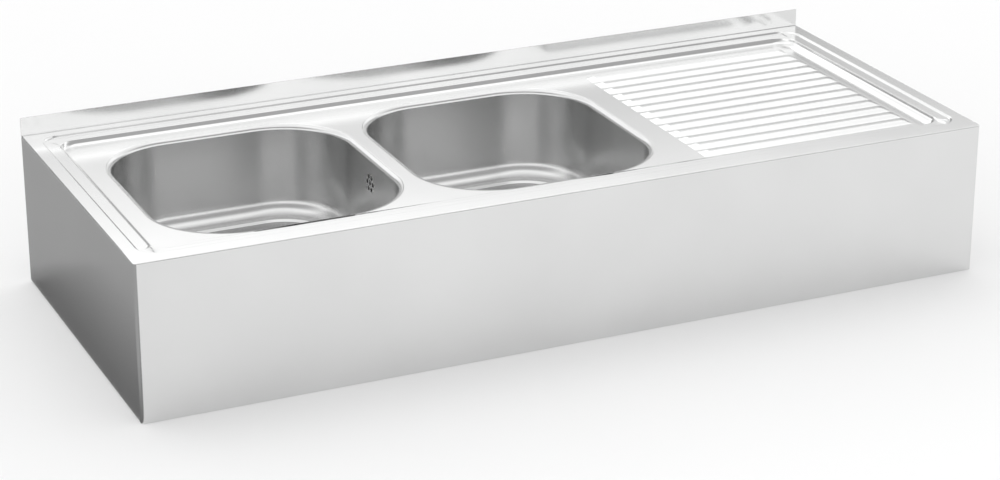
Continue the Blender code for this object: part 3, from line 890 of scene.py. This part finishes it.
def build_basket(side):
    """The pieces that lift out of the waste: pierced basket, post with knob, and stopper."""
    centre = BOWL_X[side]
    body = "strainer_" + side
    basket = turned("pierced_basket_" + side, BASKET_OUTLINE, centre, polished_steel, 96)
    tools = bmesh.new()
    for ring, count, radius in BASKET_HOLE_RINGS:
        for hole in range(count):
            turn = math.tau * hole / count
            x, y = centre + ring * MM * math.cos(turn), ring * MM * math.sin(turn)
            place = Matrix.Translation((x, y, BASKET_FLOOR_Z * MM))
            add_drill(tools, place, radius * MM, 4 * MM, 16)
    sideways = Matrix.Rotation(math.radians(90), 4, "Y")
    for row, z in enumerate(BASKET_WALL_ROWS):
        for hole in range(BASKET_WALL_HOLES):
            turn = math.tau * (hole + row / 2) / BASKET_WALL_HOLES
            out = Matrix.Translation((BASKET_WALL_RADIUS * MM, 0, z * MM))
            across = Matrix.Rotation(turn, 4, "Z") @ out
            place = Matrix.Translation((centre, 0, 0)) @ across @ sideways
            add_drill(tools, place, BASKET_WALL_HOLE * MM, 8 * MM, 12)
    cut(basket, tools)
    placed(basket, body, "polished_steel", "basket_" + side)
    post = turned("knob_post_" + side, POST_OUTLINE, centre, polished_steel, 48)
    placed(post, body, "polished_steel", "basket_post_" + side)
    stopper = turned("lipped_stopper_" + side, STOPPER_OUTLINE, centre, black_rubber)
    placed(stopper, body, "black_rubber", "basket_stopper_" + side)


def build_overflow_hose(side):
    """A ribbed hose from the overflow cover, straight down beside the bowl and in under it to the waste."""
    low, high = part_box("overflow_pipe_" + side)
    facing = -SIDES[side]
    radius = (high.y - low.y) / 2
    x = (high.x if facing > 0 else low.x) - facing * radius
    end_x = low.x if facing > 0 else high.x
    end_z = low.z + radius
    corners = rounded_path([(x, high.z, 0), (x, end_z, HOSE_BEND), (end_x, end_z, 0)], 24)
    points = []
    for here, after in zip(corners, corners[1:]):
        pieces = max(1, round((after - here).length / HOSE_STEP))
        points += [here.lerp(after, step / pieces) for step in range(pieces)]
    points.append(corners[-1])
    rows = []
    travelled = 0.0
    total = sum((after - here).length for here, after in zip(points, points[1:]))
    for index, point in enumerate(points):
        before, after = points[max(index - 1, 0)], points[min(index + 1, len(points) - 1)]
        along = (after - before).normalized()
        if index:
            travelled += (point - points[index - 1]).length
        cuff = min(travelled, total - travelled) < HOSE_CUFF
        ripple = 0.0 if cuff else HOSE_RIPPLE * math.sin(math.pi * travelled / HOSE_RIPPLE_PITCH) ** 2
        reach = radius - HOSE_CLEARANCE - ripple
        across = Vector((-along.y, along.x))
        row = []
        for step in range(HOSE_SIDES):
            turn = math.tau * step / HOSE_SIDES
            flat = point + across * reach * math.cos(turn)
            row.append(Vector((flat.x, reach * math.sin(turn), flat.y)))
        rows.append(row)
    bm = bmesh.new()
    grid = skin(bm, rows)
    bm.faces.new(grid[0])
    bm.faces.new(grid[-1])
    hose = finish_mesh("overflow_hose_" + side, bm, white_plastic, 60)
    placed(hose, "sink", "white_plastic", "overflow_pipe_" + side)


# ---- skirt ----


def build_apron():
    """The front sheet: its ends turn the two front corners, and it folds in at the top and the foot."""
    end = -HALF_DEPTH + CORNER_BEND + APRON_RETURN
    corners = [
        (-HALF_LENGTH, end, 0),
        (-HALF_LENGTH, -HALF_DEPTH, CORNER_BEND),
        (HALF_LENGTH, -HALF_DEPTH, CORNER_BEND),
        (HALF_LENGTH, end, 0),
    ]
    line = rounded_path(corners, 8)
    outline = line + offset_line(line, PANEL)[::-1]
    wrap = prism("apron_wrap", outline, "Z", 0.0, SKIRT_TOP, front_steel)
    bm = bmesh.new()
    bm.from_mesh(wrap.data)
    bpy.data.objects.remove(wrap, do_unlink=True)
    inside = -HALF_DEPTH + PANEL
    for low, high, reach in ((0.0, PANEL, FOOT_FLANGE), (SKIRT_TOP - PANEL, SKIRT_TOP, TOP_FLANGE)):
        size = (2 * (HALF_LENGTH - FLANGE_END), reach - PANEL, high - low, 1.0)
        middle = (0.0, inside + (reach - PANEL) / 2, (low + high) / 2)
        place = Matrix.Translation(middle) @ Matrix.Diagonal(size)
        bmesh.ops.create_cube(bm, size=1.0, matrix=place)
    apron = finish_mesh("front_sheet", bm, front_steel)
    placed(apron, "sink", "skirt_steel", "front_apron")


def build_side(side):
    """A side sheet, which folds in at the top and the foot."""
    facing = SIDES[side]
    outer = facing * HALF_LENGTH
    corners = [
        (outer - facing * FOOT_FLANGE, 0.0, 0),
        (outer, 0.0, SIDE_BEND),
        (outer, SKIRT_TOP, SIDE_BEND),
        (outer - facing * TOP_FLANGE, SKIRT_TOP, 0),
    ]
    line = rounded_path(corners, 5)
    outline = line + offset_line(line, facing * PANEL)[::-1]
    start = -HALF_DEPTH + CORNER_BEND + SIDE_START
    panel = prism("side_sheet_" + side, outline, "Y", start, HALF_DEPTH - GAP, side_steel)
    placed(panel, "sink", "skirt_steel", "side_panel_" + side)


# ---- folded and moulded pieces that follow their CAD shape, with rounded edges ----

# Node names start with the key; the values are what the copy is called, its finish, its slot and its bevel
SOFTENED = {
    "drainer_channel": ("folded", frame_steel, "frame_steel", 0.9 * MM),
    "gusset": ("folded", frame_steel, "frame_steel", 0.5 * MM),
    "rear_": ("folded", frame_steel, "frame_steel", 1.0 * MM),
    "damping_pad": ("soft", pad_rubber, "damping_pad", 1.2 * MM),
    "overflow_gasket": ("soft", black_rubber, "black_rubber", 0.4 * MM),
    "overflow_cover": ("moulded", white_plastic, "white_plastic", 1.0 * MM),
}
FLAT_ANGLE = 1
BEVEL_ANGLE = 40
BEVEL_SEGMENTS = 3
SOFTENED_SHARP_ANGLE = 50


def soften(node_name, kind, finish, slot, width):
    """A copy of a CAD solid with its flat faces merged and its edges rounded."""
    bm = bmesh.new()
    bm.from_mesh(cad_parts[node_name].data)
    bmesh.ops.remove_doubles(bm, verts=bm.verts, dist=WELD)
    bmesh.ops.dissolve_limit(bm, angle_limit=math.radians(FLAT_ANGLE), verts=bm.verts, edges=bm.edges)
    piece = finish_mesh(f"{kind}_{node_name}", bm, finish)
    rounding = piece.modifiers.new("rounding", "BEVEL")
    rounding.width = width
    rounding.segments = BEVEL_SEGMENTS
    rounding.limit_method = "ANGLE"
    rounding.angle_limit = math.radians(BEVEL_ANGLE)
    applied(piece, SOFTENED_SHARP_ANGLE)
    steady_normals(piece)
    placed(piece, "sink", slot, node_name)


def soften_rest():
    for node_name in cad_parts:
        for start, (kind, finish, slot, width) in SOFTENED.items():
            if node_name.startswith(start):
                soften(node_name, kind, finish, slot, width)


# ---- studio ----


def build_floor():
    bm = bmesh.new()
    bmesh.ops.create_grid(bm, x_segments=8, y_segments=8, size=12.0)
    made, nodes, links, shader = new_material("pale_floor")
    clouds = add_noise(nodes, links, 0.8, 2.0)
    cloud_colour(nodes, links, shader, clouds, (0.885,) * 3, (0.895,) * 3)
    matt(shader)
    floor = finish_mesh("studio_floor", bm, made)
    floor.location.z = -0.2 * MM


def build_light():
    """A studio dome of soft light: greys by height above the horizon, one set in front and one behind."""
    world = bpy.data.worlds.new("studio")
    bpy.context.scene.world = world
    world.use_nodes = True
    nodes = world.node_tree.nodes
    links = world.node_tree.links
    background = nodes["Background"]
    place = nodes.new("ShaderNodeTexCoord")
    split = nodes.new("ShaderNodeSeparateXYZ")
    links.new(place.outputs["Generated"], split.inputs["Vector"])
    height = nodes.new("ShaderNodeMath")
    height.operation = "ARCSINE"
    links.new(split.outputs["Z"], height.inputs[0])
    share = nodes.new("ShaderNodeMath")
    share.operation = "DIVIDE"
    share.inputs[1].default_value = math.pi / 2
    links.new(height.outputs["Value"], share.inputs[0])
    mix = nodes.new("ShaderNodeMix")
    mix.data_type = "RGBA"
    for slot, levels in (("A", FRONT_LEVELS), ("B", BACK_LEVELS)):
        stops = [(degrees / 90, (level / LIGHT_STRENGTH,) * 3) for degrees, level in levels]
        links.new(add_ramp(nodes, links, share.outputs["Value"], stops), mix.inputs[slot])
    behind = nodes.new("ShaderNodeMapRange")
    behind.interpolation_type = "SMOOTHSTEP"
    behind.inputs["From Min"].default_value = -BEHIND_BLEND
    behind.inputs["From Max"].default_value = BEHIND_BLEND
    links.new(split.outputs["Y"], behind.inputs["Value"])
    links.new(behind.outputs["Result"], mix.inputs["Factor"])
    links.new(mix.outputs["Result"], background.inputs["Color"])
    background.inputs["Strength"].default_value = LIGHT_STRENGTH


def build_shade_card():
    """A grey card of painted shade on the floor at the left that only reflections see, so that the left sheet
    reads darker; it is darkest beside the sink, a painted shadow.
    """
    bm = bmesh.new()
    low = (CARD_LEFT, CARD_FRONT, 0.0)
    high = (-HALF_LENGTH - CARD_START, CARD_BACK, 0.0)
    middle = [(a + b) / 2 for a, b in zip(low, high)]
    size = (high[0] - low[0], high[1] - low[1], 1.0, 1.0)
    extent = Matrix.Translation(middle) @ Matrix.Diagonal(size)
    bmesh.ops.create_grid(bm, x_segments=4, y_segments=4, size=0.5, matrix=extent)
    made, nodes, links, shader = new_material("painted_shade_card")
    place = nodes.new("ShaderNodeTexCoord")
    split = nodes.new("ShaderNodeSeparateXYZ")
    links.new(place.outputs["Object"], split.inputs["Vector"])
    shares = []
    runs = (
        ("X", high[0], high[0] - CARD_SHADOW_RUN),
        ("Y", HALF_DEPTH - 20 * MM, HALF_DEPTH + 50 * MM),
    )
    for axis, start, end in runs:
        share = nodes.new("ShaderNodeMapRange")
        share.inputs["From Min"].default_value = start
        share.inputs["From Max"].default_value = end
        links.new(split.outputs[axis], share.inputs["Value"])
        shares.append(share.outputs["Result"])
    larger = nodes.new("ShaderNodeMath")
    larger.operation = "MAXIMUM"
    for index, share in enumerate(shares):
        links.new(share, larger.inputs[index])
    # painted shadow in the card's grey: darkest next to the left sheet and in front of the sink's back edge,
    # lighter further off
    shadow_grey, shade_grey = [(grey,) * 3 for grey in CARD_SHADE_GREYS]
    colour = add_ramp(nodes, links, larger.outputs["Value"], [(0.0, shadow_grey), (1.0, shade_grey)])
    links.new(colour, shader.inputs["Base Color"])
    matt(shader)
    card = finish_mesh("reflected_shade_card", bm, made)
    card.location.z = 0.1 * MM
    card.visible_camera = False
    card.visible_diffuse = False
    card.visible_shadow = False


def build_camera():
    data = bpy.data.cameras.new("camera")
    data.sensor_width = 36.0
    data.lens = 98.8
    camera = bpy.data.objects.new("camera", data)
    bpy.context.scene.collection.objects.link(camera)
    camera.location = (-1.4553, -3.1867, 1.4597)
    camera.rotation_euler = (math.radians(68.108), 0.0, math.radians(-24.47))
    bpy.context.scene.camera = camera


build_camera()
build_floor()
build_light()
build_shade_card()
build_deck()
for bowl_side in SIDES:
    build_bowl(bowl_side)
    build_waste(bowl_side)
    build_basket(bowl_side)
    build_overflow_hose(bowl_side)
    build_side(bowl_side)
build_apron()
soften_rest()

view_settings = bpy.context.scene.view_settings
view_settings.view_transform = "Standard"
view_settings.look = "None"
